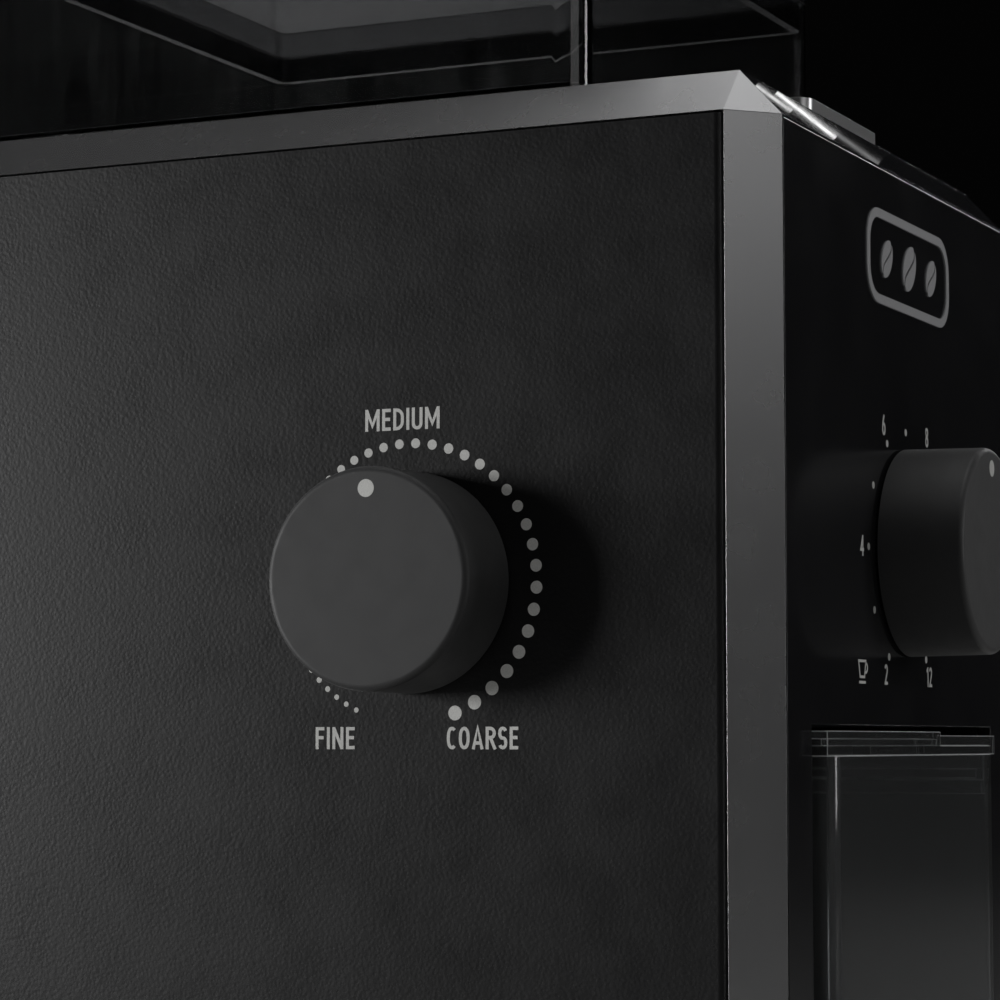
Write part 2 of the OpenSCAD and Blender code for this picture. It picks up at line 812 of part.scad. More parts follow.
// The lid slides on from the front: its side rails hook under the container's flanges.
// A raised box section runs along the left of its front edge, and a lower one along the right.
module container_lid() {
    floor_z = container_rim;
    front = -container_d / 2;
    rail_in = container_w / 2 + flange_out + rail_gap;
    rail_out = rail_in + rail_t;
    rail_hook = container_w / 2 + rail_gap;
    rail_bottom = 107;
    rail = [
        [rail_hook, rail_bottom], [rail_out, rail_bottom], [rail_out, floor_z + lid_floor_t],
        [rail_hook - 2, floor_z + lid_floor_t], [rail_hook - 2, floor_z], [rail_in, floor_z],
        [rail_in, flange_z - rail_gap], [rail_hook, flange_z - rail_gap]
    ];
    color("#c8ccd0", 0.4) translate([0, container_y, 0]) difference() {
        union() {
            translate([0, 0, floor_z]) linear_extrude(lid_floor_t)
                round_rect(container_w, container_d, container_r);
            translate([-rail_out, front, floor_z]) lid_box(lid_box_x + rail_out, lid_top - floor_z);
            translate([lid_box_x - eps, front + 1, floor_z])
                cube([rail_out - lid_box_x, lid_wall, lid_top - floor_z - 0.6]);
            for (s = [0, 1]) mirror([s, 0, 0])
                translate([0, container_d / 2 - 6, 0]) rotate([90, 0, 0])
                    linear_extrude(container_d - 10) polygon(rail);
        }
        translate([-12, -65 - container_y, floor_z - 1]) cube([24, 11, 6]);
    }
}

// A hollow box section along +X, open at the back
module lid_box(width, height) {
    difference() {
        cube([width, lid_box_d, height]);
        translate([lid_wall, lid_wall, lid_floor_t])
            cube([width - 2 * lid_wall, lid_box_d, height - lid_floor_t - lid_wall]);
    }
}

// A funnel from the hopper's mouth down to a round throat
module funnel(w, d, r, low_z) {
    hull() {
        translate([0, hopper_mid, deck_top]) linear_extrude(0.5) round_rect(w, d, 3);
        translate([0, mill_y, low_z]) cylinder(r = r, h = 0.5, $fn = 48);
    }
}

module hopper() {
    mouth_w = hopper_w - 2 * hopper_ledge - 2;
    mouth_d = hopper_d - 2 * hopper_ledge - 2;
    color("#c8ccd0", 0.4) difference() {
        union() {
            translate([0, hopper_mid, deck_top]) linear_extrude(hopper_rise)
                round_rect(hopper_w, hopper_d, hopper_r);
            funnel(mouth_w, mouth_d, throat_out, throat_top);
            translate([0, mill_y, throat_bottom])
                cylinder(r = throat_out, h = throat_top - throat_bottom + 0.3);
        }
        translate([0, hopper_mid, deck_top + hopper_wall]) linear_extrude(hopper_rise)
            round_rect(hopper_w - 2 * hopper_wall, hopper_d - 2 * hopper_wall, hopper_r - hopper_wall);
        translate([0, 0, hopper_wall + 0.1]) funnel(mouth_w - 3.6, mouth_d - 3.6, throat_in, throat_top);
        translate([0, mill_y, throat_bottom - 1])
            cylinder(r = throat_in, h = throat_top - throat_bottom + 5);
    }
}

module hopper_lid() {
    plate_t = 3;
    skirt = hopper_wall + 0.5;
    color("#3a3c40", 0.6) translate([0, hopper_mid, 0]) {
        translate([0, 0, hopper_top]) linear_extrude(plate_t) round_rect(hopper_w, hopper_d, hopper_r);
        translate([0, 0, hopper_top - 5]) linear_extrude(5 + eps) difference() {
            round_rect(hopper_w - 2 * skirt, hopper_d - 2 * skirt, hopper_r - skirt);
            round_rect(hopper_w - 2 * skirt - 3.2, hopper_d - 2 * skirt - 3.2, 1.2);
        }
        translate([0, 0, hopper_top + plate_t - eps]) linear_extrude(5) round_rect(46, 12, 5);
    }
}

// ---------------------------------------------------------------- power supply and fasteners

module supply_board() {
    color("#1f4d33") translate([0, back_y - wall - 12, 0]) {
        translate([-40, 0, 40]) cube([44, 1.6, 60]);
        for (x = [-36, 0], z = [45, 95])
            translate([x, 1.6 - eps, z]) rotate([-90, 0, 0]) cylinder(r = 2.5, h = 10.4);
        translate([-34, -8, 46]) cube([16, 8 + eps, 16]);
    }
}

module suppression_capacitor() {
    color("#c9a227") translate([-34, back_y - wall - 22, 70]) cube([26, 10, 18]);
}

module base_screws() {
    color("#9a9b9d") for (x = [-1, 1], y = [-1, 1])
        translate([x * boss_x, y * boss_y, base_z + 1.8]) {
            cylinder(r = 1.45, h = 9);
            translate([0, 0, -1.4]) cylinder(r = 3, h = 1.4);
        }
}

module back_cover_screws() {
    color("#9a9b9d") for (x = [-1, 1], z = [24, 196])
        translate([x * 46, back_y, z]) rotate([-90, 0, 0]) {
            cylinder(r = 3, h = 1.2);
            translate([0, 0, -9]) cylinder(r = 1.6, h = 9 + eps);
        }
}

// ---------------------------------------------------------------- placing

module placed() {
    translate([origin_x, origin_y, 0]) children();
}

placed() base_plate();
placed() rubber_feet();
placed() left_panel();
placed() right_panel();
placed() back_cover();
placed() front_panel();
placed() corner_trim_left();
placed() corner_trim_right();
placed() top_bezel();
placed() front_bevel();
placed() top_deck();
placed() bay_liner();
placed() chassis_plate();
placed() control_board();
placed() board_standoffs();
placed() start_switch();
placed() cup_dial_sensor();
placed() grind_housing();
placed() chamber_cap();
placed() grounds_chute();
placed() knob_shaft_bush();
placed() upper_bearing();
placed() lower_bearing();
placed() motor_can();
placed() motor_end_cap();
placed() motor_magnets();
placed() motor_mounts();
placed() hopper_gasket();
placed() cord_inlet();
placed() rating_plate();
placed() base_screws();
placed() chassis_screws();
placed() back_cover_screws();
placed() cap_screws();
placed() supply_board();
placed() suppression_capacitor();
placed() grind_knob();
placed() grind_knob_shaft();
placed() adjusting_ring();
placed() upper_burr();
placed() upper_burr_carrier();
placed() carrier_spring();
placed() cup_knob();
placed() cup_knob_shaft();
placed() start_button();
placed() button_spring();
placed() burr_shaft();
placed() lower_burr();
placed() burr_carrier();
placed() burr_gear();
placed() motor_shaft();
placed() motor_armature();
placed() motor_pinion();
placed() container();
placed() container_lid();
placed() hopper();
placed() hopper_lid();
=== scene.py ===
import json
import math

import bmesh
import bpy
from mathutils import Matrix, Vector
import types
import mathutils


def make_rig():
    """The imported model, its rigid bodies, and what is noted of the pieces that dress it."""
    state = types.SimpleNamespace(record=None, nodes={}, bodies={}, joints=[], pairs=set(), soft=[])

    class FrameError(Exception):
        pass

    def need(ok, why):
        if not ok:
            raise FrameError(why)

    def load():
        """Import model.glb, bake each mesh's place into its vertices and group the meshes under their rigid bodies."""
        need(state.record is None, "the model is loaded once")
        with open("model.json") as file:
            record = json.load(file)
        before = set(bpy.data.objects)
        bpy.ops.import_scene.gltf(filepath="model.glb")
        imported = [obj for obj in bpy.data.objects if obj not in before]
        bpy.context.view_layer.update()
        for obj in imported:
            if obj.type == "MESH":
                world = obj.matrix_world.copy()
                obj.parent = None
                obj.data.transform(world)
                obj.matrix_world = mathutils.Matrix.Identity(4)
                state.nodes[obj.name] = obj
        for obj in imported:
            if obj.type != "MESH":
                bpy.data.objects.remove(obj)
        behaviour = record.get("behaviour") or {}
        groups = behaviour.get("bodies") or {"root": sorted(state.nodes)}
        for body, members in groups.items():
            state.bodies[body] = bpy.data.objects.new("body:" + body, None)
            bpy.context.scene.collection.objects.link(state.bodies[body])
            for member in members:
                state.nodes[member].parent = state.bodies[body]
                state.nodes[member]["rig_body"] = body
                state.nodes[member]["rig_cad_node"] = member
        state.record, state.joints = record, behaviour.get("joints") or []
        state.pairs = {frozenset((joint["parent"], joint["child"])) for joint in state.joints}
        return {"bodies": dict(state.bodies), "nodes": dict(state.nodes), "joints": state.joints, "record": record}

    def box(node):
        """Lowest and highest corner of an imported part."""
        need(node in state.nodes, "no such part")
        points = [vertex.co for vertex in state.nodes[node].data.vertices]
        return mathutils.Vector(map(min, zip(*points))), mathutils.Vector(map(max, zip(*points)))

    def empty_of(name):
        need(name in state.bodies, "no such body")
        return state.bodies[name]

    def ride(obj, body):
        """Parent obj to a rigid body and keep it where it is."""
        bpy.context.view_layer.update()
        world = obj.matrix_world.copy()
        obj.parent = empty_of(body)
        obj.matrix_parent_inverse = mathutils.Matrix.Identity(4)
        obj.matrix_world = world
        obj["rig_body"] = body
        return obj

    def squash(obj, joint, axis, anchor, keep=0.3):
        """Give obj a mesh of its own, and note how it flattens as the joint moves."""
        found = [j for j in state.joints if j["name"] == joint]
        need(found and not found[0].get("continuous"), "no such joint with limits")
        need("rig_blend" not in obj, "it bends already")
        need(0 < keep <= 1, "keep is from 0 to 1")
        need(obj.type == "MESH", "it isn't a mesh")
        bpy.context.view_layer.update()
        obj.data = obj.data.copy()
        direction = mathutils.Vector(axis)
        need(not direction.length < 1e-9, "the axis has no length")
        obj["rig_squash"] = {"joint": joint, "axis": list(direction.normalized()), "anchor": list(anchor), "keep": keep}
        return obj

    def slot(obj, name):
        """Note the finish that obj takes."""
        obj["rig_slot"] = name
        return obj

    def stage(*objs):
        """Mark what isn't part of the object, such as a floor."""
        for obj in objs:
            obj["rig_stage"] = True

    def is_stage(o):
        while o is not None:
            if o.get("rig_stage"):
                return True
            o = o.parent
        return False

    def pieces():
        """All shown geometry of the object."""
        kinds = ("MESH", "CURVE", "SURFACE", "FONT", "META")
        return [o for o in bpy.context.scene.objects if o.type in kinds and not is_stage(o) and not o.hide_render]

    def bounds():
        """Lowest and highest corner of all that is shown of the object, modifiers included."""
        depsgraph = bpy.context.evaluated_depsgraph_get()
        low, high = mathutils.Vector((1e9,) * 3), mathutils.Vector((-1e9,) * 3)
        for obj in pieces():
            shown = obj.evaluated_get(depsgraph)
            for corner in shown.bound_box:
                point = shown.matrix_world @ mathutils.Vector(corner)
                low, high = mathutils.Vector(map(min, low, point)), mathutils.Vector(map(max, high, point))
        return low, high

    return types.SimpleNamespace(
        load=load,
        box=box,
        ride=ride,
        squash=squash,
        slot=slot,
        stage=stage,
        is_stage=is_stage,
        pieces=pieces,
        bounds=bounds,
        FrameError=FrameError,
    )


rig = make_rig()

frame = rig.load()
cad_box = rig.bounds()
nodes = frame["nodes"]

MM = 0.001
UP = Vector((0, 0, 1))


# ------------------------------------------------------------------ places, all from the frame

def low(node):
    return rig.box(node)[0]


def high(node):
    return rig.box(node)[1]


def middle(node):
    lowest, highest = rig.box(node)
    return (lowest + highest) / 2


left_x = low("left_panel").x
right_x = high("right_panel").x
front_y = low("front_panel").y
body_x = (left_x + right_x) / 2
grind_axis = middle("grind_knob")
cup_axis = middle("cup_knob")


# ------------------------------------------------------------------ camera, light and floor

VIEW_AZIMUTH = math.radians(-65)
VIEW_PITCH = math.radians(4.46)
VIEW_LENS = 112
SENSOR_WIDTH = 36
EYE_HEIGHT = 0.116
EYE_FROM_CORNER = Vector((-0.425, -0.155))
STREAK_X = 1.8


def make_camera():
    """Looks at the front left corner from low down, at the photograph's viewing angle."""
    data = bpy.data.cameras.new("camera")
    data.lens = VIEW_LENS
    data.sensor_width = SENSOR_WIDTH
    camera = bpy.data.objects.new("camera", data)
    bpy.context.scene.collection.objects.link(camera)
    camera.location = (left_x + EYE_FROM_CORNER.x, front_y + EYE_FROM_CORNER.y, EYE_HEIGHT)
    flat = Vector((-math.sin(VIEW_AZIMUTH), math.cos(VIEW_AZIMUTH), 0))
    ahead = flat * math.cos(VIEW_PITCH) + UP * math.sin(VIEW_PITCH)
    camera.rotation_mode = "QUATERNION"
    camera.rotation_quaternion = ahead.to_track_quat("-Z", "Y")
    data.clip_start = 0.01
    data.clip_end = 20
    bpy.context.scene.camera = camera


def area_light(name, place, turn, width, height, radiance):
    """A rectangular softbox; radiance is how bright its surface looks."""
    data = bpy.data.lights.new(name, "AREA")
    data.shape = "RECTANGLE"
    data.size = width
    data.size_y = height
    data.energy = radiance * math.pi * width * height
    light = bpy.data.objects.new(name, data)
    bpy.context.scene.collection.objects.link(light)
    light.location = place
    light.rotation_mode = "QUATERNION"
    light.rotation_quaternion = turn
    light.visible_camera = False
    light.visible_transmission = False


def soft_light(name, place, aim, width, height, radiance):
    """A softbox that faces a point."""
    turn = (Vector(aim) - Vector(place)).to_track_quat("-Z", "Y")
    area_light(name, place, turn, width, height, radiance)


def bevel_streak(name, start, end, width, radiance):
    """A thin strip light at x = STREAK_X whose mirror image in the glossy front bevel runs from start to end.

    Both are (along, up) shares of the bevel, from its left end and from its lower edge."""
    lowest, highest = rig.box("front_bevel")
    size = highest - lowest
    length = Vector((size.x, 0, 0))
    slope = Vector((0, size.y, size.z))
    normal = Vector((0, -slope.z, slope.y)).normalized()
    ends = []
    for along, up in (start, end):
        spot = lowest + along * length + up * slope
        ray = spot - bpy.context.scene.camera.location
        mirrored = ray - 2 * ray.dot(normal) * normal
        ends.append(spot + mirrored * (STREAK_X - spot.x) / mirrored.x)
    centre = (ends[0] + ends[1]) / 2
    upward = (ends[0] - ends[1]).normalized()
    across = upward.cross(centre - lowest).normalized()
    turn = Matrix((across, upward, across.cross(upward))).transposed().to_quaternion()
    area_light(name, centre, turn, width, (ends[0] - ends[1]).length, radiance)


def make_lights():
    """Softboxes round the grinder, and three thin lights for the streaks in its front bevel."""
    body = (body_x, 0, 0.14)
    under_top = (0.25, -0.22, 0)
    side = (left_x, 0.05, 0.1)
    front_edge = (body_x, front_y, 0.17)
    soft_light("light_top", (0.25, -0.22, 1.5), under_top, 0.5, 1.35, 1.5)
    soft_light("light_above_left", (-0.4, -0.1, 1.2), body, 0.5, 0.5, 2.5)
    soft_light("light_left", (-1.05, 1.7, 0.28), side, 1.0, 0.44, 20.0)
    soft_light("light_front_left", (-0.9, -1.7, 0.95), body, 1.0, 0.9, 0.85)
    soft_light("light_front", (0.6, -1.7, 0.5), body, 0.35, 0.9, 5.5)
    soft_light("light_back", (0.9, 1.7, 0.8), body, 0.9, 0.7, 3.0)
    soft_light("light_right", (1.9, 1.1, 0.6), body, 0.6, 0.6, 6.0)
    soft_light("light_edge", (1.8, -0.25, 0.92), front_edge, 0.3, 0.35, 10.0)
    bevel_streak("streak_left", (0.02, 0.74), (0.1, 0.4), 0.0016, 2.5)
    bevel_streak("streak_middle", (0.14, 1.0), (0.25, 0.25), 0.0022, 3.0)
    bevel_streak("streak_right", (0.21, 0.87), (0.41, 0.11), 0.003, 0.35)


def make_world():
    """An almost dark room, shown without a film look."""
    world = bpy.data.worlds.new("world")
    bpy.context.scene.world = world
    world.use_nodes = True
    background = world.node_tree.nodes["Background"]
    background.inputs["Color"].default_value = (1, 1, 1, 1)
    background.inputs["Strength"].default_value = 0.001
    bpy.context.scene.view_settings.view_transform = "Standard"


# ------------------------------------------------------------------ materials

class Paint:
    """A Principled material whose detail is built from a few small helpers, in real sizes."""

    def __init__(self, name, colour, roughness, metallic=0.0):
        self.material = bpy.data.materials.new(name)
        self.material.use_nodes = True
        self.tree = self.material.node_tree
        self.shader = self.tree.nodes["Principled BSDF"]
        self.colour = (*colour, 1)
        self.place = self.node("ShaderNodeTexCoord").outputs["Object"]
        self.put("Base Color", self.colour)
        self.put("Roughness", roughness)
        self.put("Metallic", metallic)
        self.roughness = roughness
        self.bump_link = None

    def node(self, kind):
        """A new shader node."""
        return self.tree.nodes.new(kind)

    def put(self, socket, value):
        """Sets one of the shader's own values."""
        self.shader.inputs[socket].default_value = value

    def link(self, source, target):
        self.tree.links.new(source, target)

    def noise(self, size, detail=4.0, stretch=(1, 1, 1)):
        """Noise whose features are about size across, in metres."""
        mapping = self.node("ShaderNodeMapping")
        mapping.inputs["Scale"].default_value = stretch
        self.link(self.place, mapping.inputs["Vector"])
        texture = self.node("ShaderNodeTexNoise")
        texture.inputs["Scale"].default_value = 1 / size
        texture.inputs["Detail"].default_value = detail
        self.link(mapping.outputs["Vector"], texture.inputs["Vector"])
        return texture.outputs["Fac"]

    def cells(self, size):
        """Rounded cells about size across, in metres."""
        texture = self.node("ShaderNodeTexVoronoi")
        texture.feature = "SMOOTH_F1"
        texture.inputs["Scale"].default_value = 1 / size
        self.link(self.place, texture.inputs["Vector"])
        return texture.outputs["Distance"]

    def spread(self, value, lowest, highest, start=0.3, end=0.7):
        """Maps a pattern's values from start to end onto lowest to highest."""
        mapped = self.node("ShaderNodeMapRange")
        mapped.inputs["From Min"].default_value = start
        mapped.inputs["From Max"].default_value = end
        mapped.inputs["To Min"].default_value = lowest
        mapped.inputs["To Max"].default_value = highest
        self.link(value, mapped.inputs["Value"])
        return mapped.outputs["Result"]

    def vary_colour(self, value, darker, lighter, start=0.3, end=0.7):
        """Multiplies the base colour between two factors along a pattern."""
        mix = self.node("ShaderNodeMix")
        mix.data_type = "RGBA"
        mix.inputs["A"].default_value = (*[c * darker for c in self.colour[:3]], 1)
        mix.inputs["B"].default_value = (*[c * lighter for c in self.colour[:3]], 1)
        self.link(self.spread(value, 0, 1, start, end), mix.inputs["Factor"])
        self.link(mix.outputs["Result"], self.shader.inputs["Base Color"])

    def vary_roughness(self, value, amount):
        """Moves the roughness up and down by an amount along a pattern."""
        rough = self.spread(value, self.roughness - amount, self.roughness + amount)
        self.link(rough, self.shader.inputs["Roughness"])

    def bump(self, value, depth, strength=1.0):
        """Adds relief of that depth, in metres, over any relief already there."""
        bump = self.node("ShaderNodeBump")
        bump.inputs["Strength"].default_value = strength
        bump.inputs["Distance"].default_value = depth
        self.link(value, bump.inputs["Height"])
        if self.bump_link:
            self.link(self.bump_link, bump.inputs["Normal"])
        self.bump_link = bump.outputs["Normal"]
        self.link(self.bump_link, self.shader.inputs["Normal"])


def grained_plastic(name, colour, roughness, grain=0.55 * MM, depth=0.05 * MM):
    """Moulded plastic with a fine leather grain."""
    paint = Paint(name, colour, roughness)
    paint.put("Specular IOR Level", 0.3)
    paint.bump(paint.cells(grain), depth, 0.5)
    paint.bump(paint.noise(grain * 0.35, 2), depth * 0.4, 0.4)
    paint.vary_roughness(paint.noise(9 * MM), 0.04)
    paint.vary_colour(paint.noise(22 * MM, 3), 0.9, 1.12)
    return paint.material


def smooth_plastic(name, colour, roughness):
    """Smooth moulded plastic with slight flow ripple and handling marks."""
    paint = Paint(name, colour, roughness)
    paint.bump(paint.noise(1.2 * MM, 2), 0.004 * MM, 0.5)
    paint.vary_roughness(paint.noise(14 * MM, 5), 0.05)
    paint.vary_colour(paint.noise(30 * MM, 3), 0.93, 1.08)
    return paint.material


def gloss_black(name, colour):
    """Polished plastic with the faintest wipe marks."""
    paint = Paint(name, colour, 0.02)
    paint.vary_roughness(paint.noise(3 * MM, 6), 0.005)
    paint.vary_colour(paint.noise(12 * MM, 3), 0.9, 1.1)
    return paint.material


def satin_paint(name, colour, roughness):
    """Silver paint: fine metal flake under a satin clear coat."""
    paint = Paint(name, colour, roughness, metallic=0.85)
    paint.vary_colour(paint.noise(0.1 * MM, 1), 0.95, 1.06)
    paint.vary_roughness(paint.noise(8 * MM, 3), 0.008)
    paint.bump(paint.noise(0.2 * MM, 1), 0.001 * MM, 0.3)
    return paint.material


def soft_touch(name, colour):
    """Rubbery soft-touch coating, very finely textured."""
    paint = Paint(name, colour, 0.56)
    paint.put("Sheen Weight", 0.12)
    paint.put("Sheen Roughness", 0.5)
    paint.bump(paint.noise(0.18 * MM, 2), 0.012 * MM, 0.6)
    paint.vary_roughness(paint.noise(4 * MM, 5), 0.05)
    paint.vary_colour(paint.noise(6 * MM, 4), 0.94, 1.08)
    return paint.material


def ink(name, colour):
    """Pad-printed ink with slightly uneven cover."""
    paint = Paint(name, colour, 0.5)
    paint.vary_colour(paint.noise(0.25 * MM, 3), 0.88, 1.05)
    paint.bump(paint.noise(0.12 * MM, 2), 0.008 * MM, 0.5)
    return paint.material


def clear_plastic(name, colour, roughness=0.03, haze=0.0, painted_edge_highlight=0.2, edge=0.22 * MM):
    """Transparent moulded plastic with faint wipe marks; near its edges it turns whitish and less clear, a painted
    highlight for the light that its edges catch.

    A spot counts as an edge where its rounded normal leaves the face's own normal."""
    paint = Paint(name, colour, roughness)
    paint.put("IOR", 1.5)
    paint.vary_roughness(paint.noise(3 * MM, 6, (1, 1, 0.15)), 0.015)
    rounded = paint.node("ShaderNodeBevel")
    rounded.samples = 6
    rounded.inputs["Radius"].default_value = edge
    flat = paint.node("ShaderNodeNewGeometry")
    agreement = paint.node("ShaderNodeVectorMath")
    agreement.operation = "DOT_PRODUCT"
    paint.link(rounded.outputs["Normal"], agreement.inputs[0])
    paint.link(flat.outputs["Normal"], agreement.inputs[1])
    # Painted highlight: towards the edges the transmission drops, so the whitish base colour shows as bright edge
    # lines.
    clear = paint.spread(agreement.outputs["Value"], 1 - painted_edge_highlight, 1 - haze, 0.85, 0.99)
    paint.link(clear, paint.shader.inputs["Transmission Weight"])
    return paint.material


def machined_steel(name, colour, roughness, stretch=(1, 1, 12)):
    """Steel with fine machining lines."""
    paint = Paint(name, colour, roughness, metallic=1.0)
    paint.bump(paint.noise(0.5 * MM, 3, stretch), 0.006 * MM, 0.5)
    paint.vary_roughness(paint.noise(2 * MM, 5, stretch), 0.08)
    paint.vary_colour(paint.noise(4 * MM, 4), 0.9, 1.06)
    return paint.material


def cast_metal(name, colour):
    """Die-cast alloy with a coarse, uneven skin."""
    paint = Paint(name, colour, 0.5, metallic=0.9)
    paint.bump(paint.noise(0.6 * MM, 5), 0.05 * MM, 0.6)
    paint.vary_roughness(paint.noise(3 * MM, 5), 0.08)
    paint.vary_colour(paint.noise(5 * MM, 5), 0.85, 1.1)
    return paint.material


def rubber(name, colour):
    """Matt rubber, dusty in places."""
    paint = Paint(name, colour, 0.7)
    paint.bump(paint.noise(0.3 * MM, 4), 0.03 * MM, 0.6)
    paint.vary_colour(paint.noise(5 * MM, 5), 0.8, 1.3)
    paint.vary_roughness(paint.noise(2 * MM, 4), 0.08)
    return paint.material


def circuit_board(name, colour):
    """Green solder mask over darker and lighter tracks."""
    paint = Paint(name, colour, 0.28)
    tracks = paint.node("ShaderNodeTexBrick")
    tracks.inputs["Scale"].default_value = 160
    tracks.inputs["Mortar Size"].default_value = 0.06
    paint.link(paint.place, tracks.inputs["Vector"])
    paint.vary_colour(tracks.outputs["Fac"], 0.75, 1.7, 0, 1)
    paint.bump(tracks.outputs["Fac"], 0.03 * MM, 0.5)
    paint.vary_roughness(paint.noise(4 * MM, 4), 0.06)
    return paint.material


def copper_winding(name, colour):
    """Enamelled wire, wound in rows along the axis."""
    paint = Paint(name, colour, 0.32, metallic=0.9)
    paint.bump(paint.noise(0.5 * MM, 2, (1, 1, 0.15)), 0.2 * MM, 0.8)
    paint.vary_colour(paint.noise(1 * MM, 3, (1, 1, 0.15)), 0.7, 1.25)
    return paint.material


SLOT_MATERIALS = {
    "black_panel": grained_plastic("black_panel", (0.0065, 0.0065, 0.0069), 0.4),
    "black_front": smooth_plastic("black_front", (0.012, 0.012, 0.013), 0.16),
    "silver_trim": satin_paint("silver_trim", (0.36, 0.36, 0.365), 0.27),
    "dark_bevel": gloss_black("dark_bevel", (0.02, 0.02, 0.022)),
    "black_moulding": grained_plastic(
        "black_moulding", (0.018, 0.018, 0.019), 0.48, 0.35 * MM, 0.03 * MM),
    "bay_black": smooth_plastic("bay_black", (0.011, 0.011, 0.012), 0.42),
    "foot_rubber": rubber("foot_rubber", (0.018, 0.018, 0.018)),
    "label_foil": machined_steel("label_foil", (0.55, 0.55, 0.56), 0.38, (1, 14, 1)),
    "frame_grey": grained_plastic(
        "frame_grey", (0.045, 0.046, 0.05), 0.55, 0.4 * MM, 0.03 * MM),
    "circuit_board": circuit_board("circuit_board", (0.015, 0.085, 0.035)),
    "standoff_nylon": smooth_plastic("standoff_nylon", (0.68, 0.67, 0.62), 0.45),
    "switch_body": smooth_plastic("switch_body", (0.03, 0.034, 0.045), 0.4),
    "housing_alloy": cast_metal("housing_alloy", (0.42, 0.43, 0.45)),
    "chute_grey": smooth_plastic("chute_grey", (0.04, 0.04, 0.045), 0.45),
    "bearing_steel": machined_steel("bearing_steel", (0.55, 0.55, 0.57), 0.2),
    "motor_steel": machined_steel("motor_steel", (0.45, 0.45, 0.46), 0.34),
    "motor_plastic": smooth_plastic("motor_plastic", (0.05, 0.05, 0.06), 0.45),
    "magnet": cast_metal("magnet", (0.09, 0.09, 0.1)),
    "mount_rubber": rubber("mount_rubber", (0.02, 0.02, 0.02)),
    "gasket_silicone": rubber("gasket_silicone", (0.25, 0.035, 0.025)),
    "screw_steel": machined_steel("screw_steel", (0.5, 0.5, 0.52), 0.28),
    "capacitor_film": smooth_plastic("capacitor_film", (0.6, 0.38, 0.02), 0.3),
    "knob_soft": soft_touch("knob_soft", (0.0165, 0.0167, 0.0174)),
    "shaft_nylon": smooth_plastic("shaft_nylon", (0.62, 0.6, 0.53), 0.42),
    "burr_steel": machined_steel("burr_steel", (0.52, 0.52, 0.54), 0.3, (1, 1, 1)),
    "carrier_red": smooth_plastic("carrier_red", (0.3, 0.04, 0.025), 0.4),
    "spring_steel": machined_steel("spring_steel", (0.6, 0.6, 0.62), 0.18),
    "button_silver": satin_paint("button_silver", (0.5, 0.5, 0.505), 0.3),
    "shaft_steel": machined_steel("shaft_steel", (0.55, 0.55, 0.57), 0.2),
    "gear_acetal": smooth_plastic("gear_acetal", (0.72, 0.69, 0.6), 0.4),
    "copper_winding": copper_winding("copper_winding", (0.5, 0.17, 0.05)),
    "pinion_brass": machined_steel("pinion_brass", (0.68, 0.46, 0.16), 0.25),
    "print_ink": ink("print_ink", (0.62, 0.62, 0.6)),
    # Both clear plastics carry a faint painted highlight along their edges.
    "clear_plastic": clear_plastic("clear_plastic", (0.95, 0.96, 0.97), 0.02),
    "smoked_plastic": clear_plastic("smoked_plastic", (0.35, 0.35, 0.36)),
}
PRINT_WHITE = SLOT_MATERIALS["print_ink"]
BADGE_GREY = ink("badge_grey", (0.34, 0.34, 0.35))
# The container and its lid: a slight haze all over, and near-full whitening at the edges, a painted highlight for their
# bright edge lines.
HAZE_AND_EDGE_HIGHLIGHT_NODES = ("container", "container_lid")
HAZE_AND_EDGE_HIGHLIGHT_PLASTIC = clear_plastic(
    "haze_and_edge_highlight_plastic", (0.9, 0.92, 0.93), 0.05, haze=0.03, painted_edge_highlight=0.95, edge=0.3 * MM)


def paint_cad_nodes():
    """Gives every CAD node its slot's material; the container and its lid are cloudier from use, and their edges are
    whitened strongly as painted highlights.
    """
    for row in frame["record"]["subparts"]:
        hazed_and_edge_highlighted = row["node"] in HAZE_AND_EDGE_HIGHLIGHT_NODES
        material = HAZE_AND_EDGE_HIGHLIGHT_PLASTIC if hazed_and_edge_highlighted else SLOT_MATERIALS[row["material_slot"]]
        mesh = nodes[row["node"]].data
        mesh.materials.clear()
        mesh.materials.append(material)


def soften(node, width, segments):
    """Rounds a CAD node's sharp edges to a width; its flat faces keep their flat shading."""
    piece = nodes[node]
    weld = piece.modifiers.new("weld", "WELD")
    weld.merge_threshold = 0.002 * MM
    bevel = piece.modifiers.new("bevel", "BEVEL")
    bevel.width = width
    bevel.segments = segments
    bevel.limit_method = "ANGLE"
    bevel.angle_limit = math.radians(35)
    for polygon in piece.data.polygons:
        polygon.use_smooth = True
    weighted = piece.modifiers.new("normals", "WEIGHTED_NORMAL")
    weighted.keep_sharp = True


def soften_edges():
    """Gives the parts that show the small edge radii of mouldings and painted trim."""
    for panel in ("left_panel", "right_panel"):
        soften(panel, 0.9 * MM, 4)
    soften("front_panel", 0.15 * MM, 2)
    for trim in ("corner_trim_left", "corner_trim_right", "top_bezel", "front_bevel"):
        soften(trim, 0.12 * MM, 2)
    for knob in ("grind_knob", "cup_knob"):
        soften(knob, 0.2 * MM, 2)
    for clear in ("container", "container_lid", "hopper", "hopper_lid"):
        soften(clear, 0.3 * MM, 3)
    soften("start_button", 0.5 * MM, 4)
    soften("top_deck", 0.4 * MM, 3)
    soften("rubber_feet", 0.6 * MM, 3)


# ------------------------------------------------------------------ pieces made here

